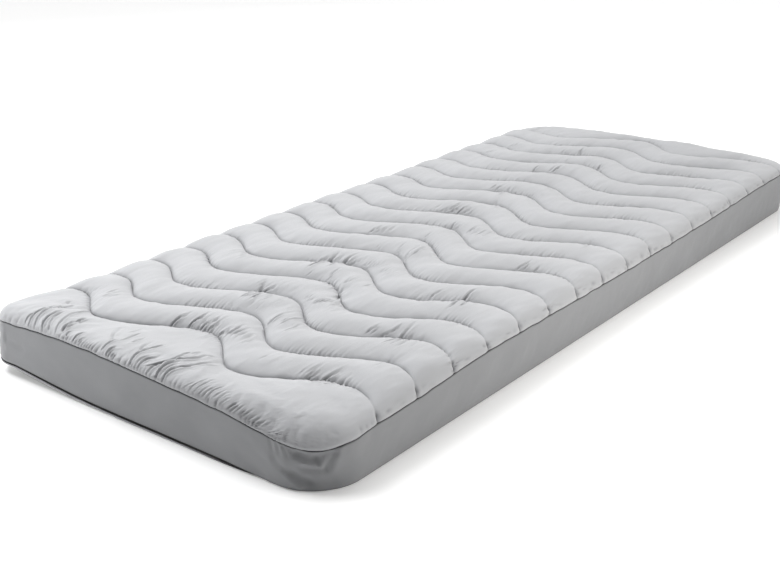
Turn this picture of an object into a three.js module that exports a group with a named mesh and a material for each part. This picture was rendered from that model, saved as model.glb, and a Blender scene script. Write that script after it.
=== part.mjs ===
// A wave-quilted mattress cover, fitted on a thin mattress and lying flat.
// Millimetres. X runs across the bed, Y along it from the foot end to the head end, Z up.
// The origin is the middle of the underside.
import * as THREE from "three";

// Driving dimensions
const WIDTH = 800;
const LENGTH = 1900;
const MATTRESS_TOP = 84;
const STITCH_HEIGHT = 104;
const PUFF = 18;
const PUFF_ROUNDNESS = 0.75;
const CROWN_WIDTH = 45;
const RIM_THICK = 3;
const RIM_DEEP = 3.5;
const RIM_SLOPE = 1.2;
const CLOTH = 2;
const GAP = 0.3;

// The quilting: lines across the bed, one channel of filling between each two.
const LINES = 17;
const FIRST_LINE = 141;
const PITCH = 104.2;

// Plan radius of each corner. The one at the foot's left is pushed out by the mattress.
const CORNERS = { footLeft: 45, footRight: 92, headRight: 90, headLeft: 120 };

// Where a quilting line turns: its place across the bed, how far it is then towards the head,
// and how much that changes from one line to the next.
const TURNS = [
  { x: -550, rise: -33, drift: 0 },
  { x: -342, rise: 32, drift: -2.2 },
  { x: -231, rise: -31, drift: 0 },
  { x: -12, rise: 44, drift: 0 },
  { x: 129, rise: -44, drift: 1.3 },
  { x: 317, rise: 31, drift: 0 },
  { x: 468, rise: -33, drift: 0 },
];

// Round the edge: height of the seam between top and skirt, how much higher than elsewhere the
// filling lies there, height of the skirt's hem, how far the skirt flares out at the hem, and how
// far in the lip of the hem band lies. The band shows under the hem at the foot end only.
const EDGE = [
  { at: "foot, left", x: -330, y: -950, seam: 105, fill: 8, hem: 6.5, flare: 0, lip: 1.5 },
  { at: "foot, left third", x: -190, y: -950, seam: 113, fill: 5, hem: 6.5, flare: 0, lip: 1.5 },
  { at: "foot, middle", x: 0, y: -950, seam: 106, fill: 2, hem: 6, flare: 0, lip: 1 },
  { at: "foot, lip goes in", x: 190, y: -950, seam: 95, fill: 0, hem: 5, flare: 1.5, lip: 0 },
  { at: "foot, lip is in", x: 240, y: -950, seam: 89, fill: 0, hem: 4, flare: 2.5, lip: 8.5 },
  { at: "foot, hem is down", x: 300, y: -950, seam: 81, fill: 0, hem: 0.4, flare: 1, lip: 8.5 },
  { at: "near corner", x: 371, y: -921, seam: 73, fill: 0, hem: 0.4, flare: 0, lip: 8.5 },
  { at: "long side, start", x: 400, y: -810, seam: 83, fill: 0, hem: 0.4, flare: 0, lip: 8.5 },
  { at: "long side, line 2", x: 400, y: -700, seam: 86, fill: 0, hem: 0.4, flare: 0, lip: 8.5 },
  { at: "long side, crest", x: 400, y: -500, seam: 95, fill: 0, hem: 0.4, flare: 0, lip: 8.5 },
  { at: "long side, quarter", x: 400, y: -250, seam: 93, fill: 0, hem: 0.4, flare: 0, lip: 8.5 },
  { at: "long side, middle", x: 400, y: 30, seam: 91, fill: 0, hem: 0.4, flare: 0, lip: 8.5 },
  { at: "long side, far part", x: 400, y: 420, seam: 95, fill: 0, hem: 0.4, flare: 0, lip: 8.5 },
  { at: "long side, far end", x: 400, y: 800, seam: 103, fill: 0, hem: 0.4, flare: 0, lip: 8.5 },
  { at: "head, right third", x: 150, y: 950, seam: 102, fill: 5, hem: 0.4, flare: 0, lip: 8.5 },
  { at: "head, left third", x: -150, y: 950, seam: 98, fill: 0, hem: 0.4, flare: 0, lip: 8.5 },
  { at: "far corner", x: -365, y: 915, seam: 86, fill: -11, hem: 0.4, flare: 0, lip: 8.5 },
  { at: "back side, far part", x: -400, y: 560, seam: 88, fill: -10, hem: 0.4, flare: 0, lip: 8.5 },
  { at: "back side, middle", x: -400, y: 0, seam: 92, fill: -4, hem: 0.4, flare: 0, lip: 8.5 },
  { at: "back side, near part", x: -400, y: -740, seam: 96, fill: 3, hem: 0.4, flare: 0, lip: 8.5 },
  { at: "back side, hem goes up", x: -400, y: -810, seam: 97, fill: 5, hem: 3.5, flare: 0, lip: 8.5 },
  { at: "back side, lip is in", x: -400, y: -850, seam: 98, fill: 7, hem: 4.5, flare: 0, lip: 8 },
  { at: "left corner", x: -398, y: -918, seam: 100, fill: 8, hem: 6.5, flare: 0, lip: 1.5 },
];

// The skirt's section, from its hem to its seam: part of the height, and distance past the outline.
const SKIRT_SECTION = [
  { up: 0, out: -2.5 },
  { up: 0.05, out: -0.3 },
  { up: 0.14, out: 0.8 },
  { up: 0.35, out: 2.4 },
  { up: 0.6, out: 2.6 },
  { up: 0.85, out: 1.2 },
  { up: 1, out: -0.5 },
];

// Soft folds of the skirt, as troughs: start and end as distance along the edge from the middle
// of the near corner and as part of the height, then half width in mm and depth.
const FOLDS = [
  { from: -60, fromUp: 0.95, to: 5, toUp: 0.66, wide: 12, deep: 3 },
  { from: -20, fromUp: 0.66, to: 60, toUp: 0.8, wide: 9, deep: 2.4 },
  { from: -48, fromUp: 0.5, to: -20, toUp: 0.12, wide: 11, deep: 2.6 },
  { from: 40, fromUp: 0.5, to: 95, toUp: 0.75, wide: 14, deep: 2 },
];

// The mattress's section, from the underside to the top: distance in from the outline, and height.
const BAND_INNER = 40;
const MATTRESS_SECTION = [
  { inset: BAND_INNER + 1.5, z: 0 },
  { inset: BAND_INNER + 1.5, z: CLOTH + 2 * GAP },
  { inset: 16, z: CLOTH + 2 * GAP },
  { inset: 9, z: 7 },
  { inset: 6, z: 18 },
  { inset: 6, z: 56 },
  { inset: 8, z: 66 },
  { inset: 14, z: 75 },
  { inset: 22, z: 80.5 },
  { inset: 34, z: MATTRESS_TOP },
];

// Plan outline

function cornerRadius(x, y) {
  if (y < 0) return x < 0 ? CORNERS.footLeft : CORNERS.footRight;
  return x < 0 ? CORNERS.headLeft : CORNERS.headRight;
}

// How far a point lies past its corner's centre, across and along.
function pastCorner(x, y) {
  const r = cornerRadius(x, y);
  return { x: Math.abs(x) - (WIDTH / 2 - r), y: Math.abs(y) - (LENGTH / 2 - r), r };
}

function edgeDistance(x, y) {
  const past = pastCorner(x, y);
  if (past.x > 0 && past.y > 0) return past.r - Math.hypot(past.x, past.y);
  return Math.min(WIDTH / 2 - Math.abs(x), LENGTH / 2 - Math.abs(y));
}

function outwardNormal(x, y) {
  const past = pastCorner(x, y);
  if (past.x > 0 && past.y > 0) {
    const long = Math.hypot(past.x, past.y);
    return { x: (Math.sign(x) * past.x) / long, y: (Math.sign(y) * past.y) / long };
  }
  if (WIDTH / 2 - Math.abs(x) < LENGTH / 2 - Math.abs(y)) return { x: Math.sign(x), y: 0 };
  return { x: 0, y: Math.sign(y) };
}

// Where the outline's left (-1) or right (+1) side lies at a place along the bed.
function sideX(sign, y) {
  const past = pastCorner(sign, y);
  const arc = Math.min(past.r, Math.max(0, past.y));
  return sign * (WIDTH / 2 - past.r + Math.sqrt(past.r * past.r - arc * arc));
}

// Points round the outline, counterclockwise seen from above, each with its outward normal
// and its distance along the edge from the middle of the near corner.
function stations(endSteps, longSteps, cornerSteps) {
  const points = [];
  const sides = [
    { dx: 1, dy: 0, steps: endSteps, x: 0, y: -LENGTH / 2 },
    { dx: 0, dy: 1, steps: longSteps, x: WIDTH / 2, y: 0 },
    { dx: -1, dy: 0, steps: endSteps, x: 0, y: LENGTH / 2 },
    { dx: 0, dy: -1, steps: longSteps, x: -WIDTH / 2, y: 0 },
  ];
  for (const side of sides) {
    const half = side.dx ? WIDTH / 2 : LENGTH / 2;
    const startR = cornerRadius(side.x - side.dx, side.y - side.dy);
    const endR = cornerRadius(side.x + side.dx, side.y + side.dy);
    const from = startR - half;
    const to = half - endR;
    for (let i = 0; i < side.steps; i++) {
      const run = from + ((to - from) * i) / side.steps;
      points.push({ x: side.x + side.dx * run, y: side.y + side.dy * run });
    }
    const out = { x: side.dy, y: -side.dx };
    const centre = {
      x: side.x + side.dx * to - out.x * endR,
      y: side.y + side.dy * to - out.y * endR,
    };
    for (let i = 0; i < cornerSteps; i++) {
      const turn = (Math.PI / 2) * (i / cornerSteps);
      points.push({
        x: centre.x + endR * (out.x * Math.cos(turn) + side.dx * Math.sin(turn)),
        y: centre.y + endR * (out.y * Math.cos(turn) + side.dy * Math.sin(turn)),
      });
    }
  }
  let along = 0;
  points.forEach((p, i) => {
    const last = points[Math.max(0, i - 1)];
    along += Math.hypot(p.x - last.x, p.y - last.y);
    p.along = along;
    p.normal = outwardNormal(p.x, p.y);
  });
  const nearCorner = points[endSteps + cornerSteps / 2].along;
  for (const p of points) p.along -= nearCorner;
  return points;
}

// Values that vary round the edge

function turnAt(x, y) {
  return Math.atan2(y / LENGTH, x / WIDTH);
}

// A smooth curve round the edge through one column of EDGE, that never overshoots its rows.
function edgeCurve(column) {
  const rows = EDGE.map((row) => ({ turn: turnAt(row.x, row.y), value: row[column] }));
  rows.sort((a, b) => a.turn - b.turn);
  const count = rows.length;
  const first = { turn: rows[0].turn + 2 * Math.PI, value: rows[0].value };
  const ends = [...rows, first];
  const slopes = rows.map((row, i) => {
    return (ends[i + 1].value - row.value) / (ends[i + 1].turn - row.turn);
  });
  const tangents = slopes.map((slope, i) => {
    const before = slopes[(i + count - 1) % count];
    return before * slope <= 0 ? 0 : (2 * before * slope) / (before + slope);
  });
  return (x, y) => {
    let turn = turnAt(x, y);
    if (turn < rows[0].turn) turn += 2 * Math.PI;
    let i = 0;
    while (i < count - 1 && ends[i + 1].turn <= turn) i++;
    const wide = ends[i + 1].turn - ends[i].turn;
    const t = (turn - ends[i].turn) / wide;
    const a = ends[i].value;
    const b = ends[i + 1].value;
    const slopeA = tangents[i] * wide;
    const slopeB = tangents[(i + 1) % count] * wide;
    const fall = t * t * (3 - 2 * t);
    return a + (b - a) * fall + t * (1 - t) * (slopeA * (1 - t) - slopeB * t);
  };
}

const seamHeight = edgeCurve("seam");
const extraFill = edgeCurve("fill");
const hemHeight = edgeCurve("hem");
const hemFlare = edgeCurve("flare");
const lipInset = edgeCurve("lip");

// Closed solids from loops of points

function joinLoops(triangles, a, b, count) {
  for (let i = 0; i < count; i++) {
    const next = (i + 1) % count;
    triangles.push(a + i, a + next, b + next, a + i, b + next, b + i);
  }
}

function capLoop(triangles, points, start, count, up) {
  const contour = points.slice(start, start + count).map((p) => new THREE.Vector2(p.x, p.y));
  for (const [i, j, k] of THREE.ShapeUtils.triangulateShape(contour, [])) {
    const a = contour[i];
    const b = contour[j];
    const c = contour[k];
    const left = (b.x - a.x) * (c.y - a.y) - (b.y - a.y) * (c.x - a.x) > 0;
    if (left === up) triangles.push(start + i, start + j, start + k);
    else triangles.push(start + i, start + k, start + j);
  }
}

function geometry(points, triangles) {
  const made = new THREE.BufferGeometry();
  const flat = points.flatMap((p) => [p.x, p.y, p.z]);
  made.setAttribute("position", new THREE.Float32BufferAttribute(flat, 3));
  made.setIndex(triangles);
  made.computeVertexNormals();
  return made;
}

function loopAt(places, inset, height) {
  return places.map((p) => {
    const d = typeof inset === "function" ? inset(p) : inset;
    const z = typeof height === "function" ? height(p) : height;
    return new THREE.Vector3(p.x - p.normal.x * d, p.y - p.normal.y * d, z);
  });
}

// A ring whose section is the given loops, in order round the section.
function ringSolid(loops) {
  const count = loops[0].length;
  const triangles = [];
  loops.forEach((_, i) => {
    joinLoops(triangles, i * count, ((i + 1) % loops.length) * count, count);
  });
  return geometry(loops.flat(), triangles);
}

// The quilted top

// A quilting line's place along the bed, at a place across it. Between two turns it is half a wave.
function quiltLine(line, x) {
  let i = 0;
  while (i < TURNS.length - 2 && x > TURNS[i + 1].x) i++;
  const a = TURNS[i];
  const b = TURNS[i + 1];
  const riseA = a.rise + a.drift * line;
  const riseB = b.rise + b.drift * line;
  const part = (1 - Math.cos((Math.PI * (x - a.x)) / (b.x - a.x))) / 2;
  return -LENGTH / 2 + FIRST_LINE + line * PITCH + riseA + (riseB - riseA) * part;
}

function topHeight(x, y, acrossChannel) {
  const nearEdge = Math.max((2 * Math.abs(x)) / WIDTH, (2 * Math.abs(y)) / LENGTH) ** 4;
  const stitched = STITCH_HEIGHT + extraFill(x, y) * nearEdge;
  const filled = stitched + PUFF * Math.sin(Math.PI * acrossChannel) ** PUFF_ROUNDNESS;
  const seam = seamHeight(x, y);
  const roll = 1 - Math.min(1, Math.max(0, edgeDistance(x, y)) / CROWN_WIDTH);
  return seam + (filled - seam) * Math.sqrt(1 - roll * roll);
}

// Parts of the way across a channel where the surface has a row of points. The first and the last
// channel have more rows, closer together towards the end of the bed.
const INNER_ROWS = [0, 0.13, 0.36, 0.64, 0.87];
const END_ROWS = 9;

// Distances in from each long side where the surface has a column of points, and the number of
// equal steps between the last of them on the two sides.
const SIDE_COLUMNS = [0, 5, 14, 28, 48];
const MIDDLE_STEPS = 20;

function channelRows() {
  const rows = [];
  for (let i = 0; i < END_ROWS; i++) rows.push({ channel: 0, part: (i / END_ROWS) ** 2 });
  for (let channel = 1; channel < LINES; channel++) {
    for (const part of INNER_ROWS) rows.push({ channel, part });
  }
  for (let i = 0; i <= END_ROWS; i++) {
    rows.push({ channel: LINES, part: 1 - (1 - i / END_ROWS) ** 2 });
  }
  return rows;
}

// Places across the bed, from -1 at one side to 1 at the other.
function acrossPlaces() {
  const half = WIDTH / 2;
  const middle = half - SIDE_COLUMNS.at(-1);
  const places = SIDE_COLUMNS.map((d) => d - half);
  for (let i = 1; i < MIDDLE_STEPS; i++) places.push(-middle + (2 * middle * i) / MIDDLE_STEPS);
  for (const d of SIDE_COLUMNS.toReversed()) places.push(half - d);
  return places.map((x) => x / half);
}

function topSurface(rows, across) {
  return rows.map(({ channel, part }) =>
    across.map((t) => {
      const flatX = (t * WIDTH) / 2;
      const from = channel === 0 ? -LENGTH / 2 : quiltLine(channel - 1, flatX);
      const to = channel === LINES ? LENGTH / 2 : quiltLine(channel, flatX);
      const y = from + (to - from) * part;
      const x = sideX(-1, y) + ((sideX(1, y) - sideX(-1, y)) * (t + 1)) / 2;
      const puffed = channel === 0 ? (1 + part) / 2 : channel === LINES ? part / 2 : part;
      return new THREE.Vector3(x, y, topHeight(x, y, puffed));
    }),
  );
}

// How high the underside lies at a ring of the mattress's section, under a seam at a height.
function undersideHeight(row, seam) {
  const clear = row.z === MATTRESS_TOP ? GAP : 4 * GAP;
  const fromRim = seam - RIM_THICK - RIM_SLOPE * (row.inset - RIM_DEEP);
  return Math.max(row.z + clear, fromRim);
}

function quiltedTop() {
  const across = acrossPlaces();
  const surface = topSurface(channelRows(), across);
  const points = surface.flat();
  const wide = across.length;
  const long = surface.length;
  const triangles = [];
  for (let row = 0; row < long - 1; row++) {
    for (let col = 0; col < wide - 1; col++) {
      const a = row * wide + col;
      triangles.push(a, a + 1, a + wide + 1, a, a + wide + 1, a + wide);
    }
  }
  const border = [];
  for (let col = 0; col < wide - 1; col++) border.push(col);
  for (let row = 0; row < long - 1; row++) border.push(row * wide + wide - 1);
  for (let col = wide - 1; col > 0; col--) border.push((long - 1) * wide + col);
  for (let row = long - 1; row > 0; row--) border.push(row * wide);

  const places = border.map((index) => {
    const p = points[index];
    return { x: p.x, y: p.y, normal: outwardNormal(p.x, p.y), seam: p.z };
  });
  const rimLoops = [
    loopAt(places, 0, (p) => p.seam - RIM_THICK),
    loopAt(places, RIM_DEEP, (p) => p.seam - RIM_THICK),
  ];
  const underRows = MATTRESS_SECTION.slice(-3);
  const underLoops = underRows.map((row) => {
    return loopAt(places, row.inset, (p) => undersideHeight(row, p.seam));
  });
  const count = border.length;
  let start = points.length;
  for (let i = 0; i < count; i++) {
    const next = (i + 1) % count;
    triangles.push(border[i], start + i, border[next], border[next], start + i, start + next);
  }
  const loops = [...rimLoops, ...underLoops];
  loops.forEach((loop, i) => {
    points.push(...loop);
    if (i < loops.length - 1) joinLoops(triangles, start + count, start, count);
    start += count;
  });
  capLoop(triangles, points, start - count, count, false);
  return geometry(points, triangles);
}

// The skirt

function foldDepth(place, up, tall) {
  let depth = 0;
  for (const fold of FOLDS) {
    const run = { x: fold.to - fold.from, z: (fold.toUp - fold.fromUp) * tall };
    const at = { x: place.along - fold.from, z: (up - fold.fromUp) * tall };
    const long = run.x * run.x + run.z * run.z;
    const part = Math.min(1, Math.max(0, (at.x * run.x + at.z * run.z) / long));
    const away = Math.hypot(at.x - part * run.x, at.z - part * run.z) / fold.wide;
    depth += fold.deep * Math.exp(-away * away);
  }
  return depth;
}

// How far the flare at the hem still reaches at a part of the skirt's height.
function flareAt(place, up) {
  return hemFlare(place.x, place.y) * (1 - up) ** 2;
}

function skirt(places) {
  const hem = (p) => hemHeight(p.x, p.y);
  const tall = (p) => seamHeight(p.x, p.y) - RIM_THICK - 2 * GAP - hem(p);
  const face = (row, inward) =>
    loopAt(
      places,
      (p) => inward - row.out - flareAt(p, row.up) + foldDepth(p, row.up, tall(p)),
      (p) => hem(p) + row.up * tall(p),
    );
  const outer = SKIRT_SECTION.map((row) => face(row, 0));
  const inner = SKIRT_SECTION.toReversed().map((row) => face(row, CLOTH));
  return ringSolid([...outer, ...inner]);
}

// The hem band: a flat strip under the mattress, with a lip that stands up at its outer edge

// The lip's section: distance in from where the lip starts, and part of the lip's height.
const LIP_SECTION = [
  { inset: 1, up: 0 },
  { inset: 0, up: 0.5 },
  { inset: 0.7, up: 1 },
  { inset: 2.2, up: 1 },
];
const LIP_WIDTH = 2.6;
const LIP_LEAST = 2.05;

function hemBand(places) {
  const lipTop = (p) => Math.max(LIP_LEAST, hemHeight(p.x, p.y) - 1.5 * GAP);
  const lip = LIP_SECTION.map((row) => {
    return loopAt(
      places,
      (p) => lipInset(p.x, p.y) + row.inset,
      (p) => row.up * lipTop(p),
    );
  });
  return ringSolid([
    ...lip,
    loopAt(places, (p) => lipInset(p.x, p.y) + LIP_WIDTH, CLOTH),
    loopAt(places, BAND_INNER, CLOTH),
    loopAt(places, BAND_INNER, 0),
  ]);
}

// The mattress

function mattress(places) {
  const loops = MATTRESS_SECTION.map((row) => loopAt(places, row.inset, row.z));
  const count = places.length;
  const points = loops.flat();
  const triangles = [];
  for (let i = 0; i < loops.length - 1; i++) {
    joinLoops(triangles, i * count, (i + 1) * count, count);
  }
  capLoop(triangles, points, 0, count, false);
  capLoop(triangles, points, points.length - count, count, true);
  return geometry(points, triangles);
}

// Materials and assembly

function cloth(color, roughness) {
  return new THREE.MeshStandardMaterial({ color, roughness, metalness: 0 });
}

function piece(name, shape, material) {
  const mesh = new THREE.Mesh(shape, material);
  mesh.name = name;
  return mesh;
}

const edgePlaces = stations(24, 24, 10);
const mattressPlaces = stations(4, 6, 8);

const cover = new THREE.Group();
cover.add(piece("mattress", mattress(mattressPlaces), cloth("#e6e4de", 0.95)));
cover.add(piece("hem_band", hemBand(edgePlaces), cloth("#6f7174", 0.9)));
cover.add(piece("skirt", skirt(edgePlaces), cloth("#929497", 0.85)));
cover.add(piece("quilted_top", quiltedTop(), cloth("#d1d3d6", 0.8)));

export default cover;
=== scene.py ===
import math
import bpy
import numpy as np
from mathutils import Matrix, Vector


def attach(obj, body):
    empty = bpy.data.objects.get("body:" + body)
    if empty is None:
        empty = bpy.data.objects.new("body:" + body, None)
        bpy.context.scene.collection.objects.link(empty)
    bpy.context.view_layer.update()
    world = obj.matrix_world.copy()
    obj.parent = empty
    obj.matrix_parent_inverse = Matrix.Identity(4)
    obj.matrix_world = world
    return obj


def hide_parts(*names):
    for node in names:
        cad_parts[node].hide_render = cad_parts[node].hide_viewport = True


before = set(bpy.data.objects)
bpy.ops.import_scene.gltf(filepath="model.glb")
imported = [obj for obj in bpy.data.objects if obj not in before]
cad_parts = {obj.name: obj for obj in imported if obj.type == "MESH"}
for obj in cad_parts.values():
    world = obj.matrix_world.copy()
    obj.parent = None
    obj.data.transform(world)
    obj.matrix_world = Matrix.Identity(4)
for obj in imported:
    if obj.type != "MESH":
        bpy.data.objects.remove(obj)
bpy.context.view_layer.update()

# Studio: a plain pale floor with a faint glow of its own, so that it stays white beside the
# mattress. Soft square lights stand round the bed, the strongest behind it, and wide suns even
# them out. The camera looks down over the near corner of the foot end.

FLOOR_HALF = 40.0
FLOOR_DROP = 0.0004
FLOOR_WHITE = (0.97, 0.97, 0.97, 1)
FLOOR_GLOW = 0.1
FLOOR_ROUGHNESS = 0.9
FLOOR_SHINE = 0.1
WHITE, WARM = (1.0, 1.0, 1.0), (1.0, 0.975, 0.93)
LIGHTS = (
    # name, place, the point it faces, width in metres, watts, colour
    ("side_light", (2.8, 3.2, 1.3), (0.4, 0.8, 0.1), 1.6, 44, WARM),
    ("long_light", (1.4, -0.1, 0.4), (0.4, -0.15, 0.05), 0.6, 5.8, WARM),
    ("foot_light", (-1.4, -1.7, 0.6), (-0.6, -0.95, 0.05), 0.7, 13, WHITE),
    ("key_light", (-2.4, 1.4, 1.9), (0, 0, 0.1), 1.4, 35, WHITE),
    ("top_light", (-1.2, -1.0, 2.4), (-0.1, -0.4, 0.1), 1.4, 34, WHITE),
)
SUNS = (
    # name, the way it shines, spread in degrees, strength
    ("back_sun", (0.6, -0.5, -0.9), 75, 2.4),
    ("right_sun", (-0.8, -0.3, -0.9), 60, 0.6),
    ("high_sun", (0.1, -0.1, -1.0), 120, 0.2),
)
SKY_STRENGTH = 0.07
CAMERA_TURN = math.radians(37.437)
CAMERA_RISE = math.radians(21.498)
CAMERA_PLACE = (1.4489, -2.1554, 0.9700)
LENS = 56.70
SENSOR = 36.0

floor_corners = [(x * FLOOR_HALF, y * FLOOR_HALF, -FLOOR_DROP) for x, y in ((-1, -1), (1, -1), (1, 1), (-1, 1))]
floor_mesh = bpy.data.meshes.new("floor")
floor_mesh.from_pydata(floor_corners, [], [(0, 1, 2, 3)])
floor = bpy.data.objects.new("floor", floor_mesh)
bpy.context.collection.objects.link(floor)
floor_paint = bpy.data.materials.new("floor_paint")
floor_paint.use_nodes = True
floor_shader = floor_paint.node_tree.nodes["Principled BSDF"]
floor_shader.inputs["Base Color"].default_value = FLOOR_WHITE
floor_shader.inputs["Roughness"].default_value = FLOOR_ROUGHNESS
floor_shader.inputs["Specular IOR Level"].default_value = FLOOR_SHINE
floor_shader.inputs["Emission Color"].default_value = FLOOR_WHITE
floor_shader.inputs["Emission Strength"].default_value = FLOOR_GLOW
floor_mesh.materials.append(floor_paint)


def add_lamp(kind, name, toward, place=(0, 0, 0)):
    """A lamp of that kind at a place, turned to shine along a direction."""
    lamp = bpy.data.lights.new(name, kind)
    light = bpy.data.objects.new(name, lamp)
    light.location = place
    light.rotation_euler = Vector(toward).to_track_quat("-Z", "Y").to_euler()
    bpy.context.collection.objects.link(light)
    return lamp


for name, place, aim, width, watts, colour in LIGHTS:
    lamp = add_lamp("AREA", name, Vector(aim) - Vector(place), place)
    lamp.size, lamp.energy, lamp.color = width, watts, colour
for name, toward, spread, strength in SUNS:
    lamp = add_lamp("SUN", name, toward)
    lamp.angle, lamp.energy = math.radians(spread), strength

bpy.context.scene.view_settings.view_transform = "Standard"
sky = bpy.data.worlds.new("sky")
sky.use_nodes = True
sky.node_tree.nodes["Background"].inputs["Color"].default_value = (1, 1, 1, 1)
sky.node_tree.nodes["Background"].inputs["Strength"].default_value = SKY_STRENGTH
bpy.context.scene.world = sky

lens = bpy.data.cameras.new("camera")
lens.sensor_fit = "HORIZONTAL"
lens.sensor_width = SENSOR
lens.lens = LENS
camera = bpy.data.objects.new("camera", lens)
look = Vector((-math.sin(CAMERA_TURN) * math.cos(CAMERA_RISE),
               math.cos(CAMERA_TURN) * math.cos(CAMERA_RISE),
               -math.sin(CAMERA_RISE)))
camera.location = CAMERA_PLACE
camera.rotation_euler = look.to_track_quat("-Z", "Y").to_euler()
bpy.context.collection.objects.link(camera)
bpy.context.scene.camera = camera

# Mattress: a thin foam block in a plain woven ticking, with rounded edges and a piped seam round
# its top edge. The cover hides all of it but the middle of the underside. All sizes are in
# millimetres here and below, and become metres as they go into a mesh.

MM = 0.001
WIDTH, LENGTH = 800.0, 1900.0
CORNERS = {"foot left": 45.0, "foot right": 92.0, "head right": 90.0, "head left": 120.0}
MATTRESS_TOP = 84.0
MATTRESS_STEP = 12.0
CORNER_LIFT, CORNER_LIFT_REACH = 20.0, 170.0
CORNER_ROOM, CORNER_ROOM_REACH = 5.0, 80.0
# The side's profile, from the underside up to the top: how far in from the outline, and how high.
MATTRESS_INSET = (41.5, 41.5, 40.5, 38.0, 16.0, 11.5, 9.0, 7.0, 6.0, 5.6, 5.5, 5.6, 6.0, 6.0, 5.2, 5.2, 6.4,
                  8.0, 11.0, 15.0, 21.0, 27.0, 34.0, 48.0)
MATTRESS_RISE = (0.0, 1.6, 2.5, 2.6, 2.6, 4.2, 7.0, 11.0, 18.0, 28.0, 38.0, 48.0, 56.0, 62.0, 64.0, 67.0,
                 69.0, 70.0, 74.0, 77.5, 80.5, 82.5, 83.6, 84.0)
TICKING = (0.86, 0.85, 0.81)
THREAD_TONE = (0.955, 1.03)
ROUGHNESS = (0.72, 0.9)
SHINE = 0.3
SHEEN_ROUGHNESS = 0.45
NAP_SCALE = 700.0
NAP_STRENGTH = 0.35
# The thread pattern turns by 20 radians over a unit of its scale.
WAVE_TURNS = 20


def fade(distance, reach, power=2):
    """A soft fall from 1 to 0: e to the minus distance over reach, raised to the power."""
    return np.exp(-(distance / reach) ** power)


def outline(step):
    """Points round the rounded rectangle, counterclockwise from above, about a step apart: x, y,
    outward normal x and y, and distance along the edge from the middle of the near corner."""
    xs, ys, nx, ny = [], [], [], []
    names = ("foot right", "head right", "head left", "foot left")
    for side, (ex, ey) in enumerate(((1, 0), (0, 1), (-1, 0), (0, -1))):
        half, far = (WIDTH / 2, LENGTH / 2) if ex else (LENGTH / 2, WIDTH / 2)
        ox, oy = ey, -ex
        start_r, end_r = CORNERS[names[side - 1]], CORNERS[names[side]]
        straight, arc = 2 * half - start_r - end_r, end_r * math.pi / 2
        run = np.linspace(start_r - half, half - end_r, max(2, round(straight / step)), endpoint=False)
        turn = np.linspace(0, math.pi / 2, max(4, round(arc / step)), endpoint=False)
        round_x = ox * np.cos(turn) + ex * np.sin(turn)
        round_y = oy * np.cos(turn) + ey * np.sin(turn)
        xs += [run * ex + ox * far, ex * (half - end_r) + ox * (far - end_r) + end_r * round_x]
        ys += [run * ey + oy * far, ey * (half - end_r) + oy * (far - end_r) + end_r * round_y]
        nx += [np.full(run.size, float(ox)), round_x]
        ny += [np.full(run.size, float(oy)), round_y]
    x, y, nx, ny = (np.concatenate(values) for values in (xs, ys, nx, ny))
    along = np.concatenate([[0], np.cumsum(np.hypot(np.diff(x), np.diff(y)))])
    near = np.argmin(np.hypot(nx - math.sqrt(0.5), ny + math.sqrt(0.5)))
    return x, y, nx, ny, along - along[near]


def lift_corner(points):
    """The left foot corner stands a little off the floor: points near it are raised, by less the
    higher they lie, falling off by the square of the distance from the corner."""
    away = np.hypot(points[..., 0] + WIDTH / 2, points[..., 1] + LENGTH / 2)
    lower = np.clip(1 - points[..., 2] / MATTRESS_TOP, 0, 1)
    lifted = points.copy()
    lifted[..., 2] += CORNER_LIFT * fade(away, CORNER_LIFT_REACH) * lower
    return lifted


def ring_points(place, inset, height):
    """Loops of points round the outline, one row for each inset and height: a profile carried
    along the outline, inset along its normal."""
    x, y, nx, ny, _ = place
    inset, height = np.broadcast_arrays(inset, height + 0 * x)
    return np.stack([x - nx * inset, y - ny * inset, height], axis=-1)


def ring_faces(rows, count, closed):
    """Quads between neighbouring loops. A closed profile also joins its last loop to its first."""
    row = np.arange(rows if closed else rows - 1)[:, None] * count
    next_row = (row + count) % (rows * count)
    column = np.arange(count)[None, :]
    next_column = (column + 1) % count
    corners = [row + column, row + next_column, next_row + next_column, next_row + column]
    return np.stack(corners, axis=-1).reshape(-1, 4)


def add_piece(name, points, faces, caps=(), smooth_under=None):
    """A mesh object at the origin from points in millimetres, quads and extra many-sided caps."""
    mesh = bpy.data.meshes.new(name)
    all_faces = faces.tolist() + [list(map(int, cap)) for cap in caps]
    mesh.from_pydata((points.reshape(-1, 3) * MM).tolist(), [], all_faces)
    mesh.validate()
    mesh.shade_smooth()
    if smooth_under:
        mesh.set_sharp_from_angle(angle=math.radians(smooth_under))
    made = bpy.data.objects.new(name, mesh)
    bpy.context.collection.objects.link(made)
    return made


def add_weave_map(piece, u, v):
    """The piece's own map, in metres along and across the cloth, one pair for each point."""
    u, v = np.broadcast_arrays(u, v)
    mesh = piece.data
    corners = np.empty(len(mesh.loops), dtype=np.int64)
    mesh.loops.foreach_get("vertex_index", corners)
    layer = mesh.uv_layers.new(name="weave")
    flat = np.stack([np.ravel(u) * MM, np.ravel(v) * MM], axis=-1)[corners]
    layer.data.foreach_set("uv", flat.astype(np.float32).ravel())


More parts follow.
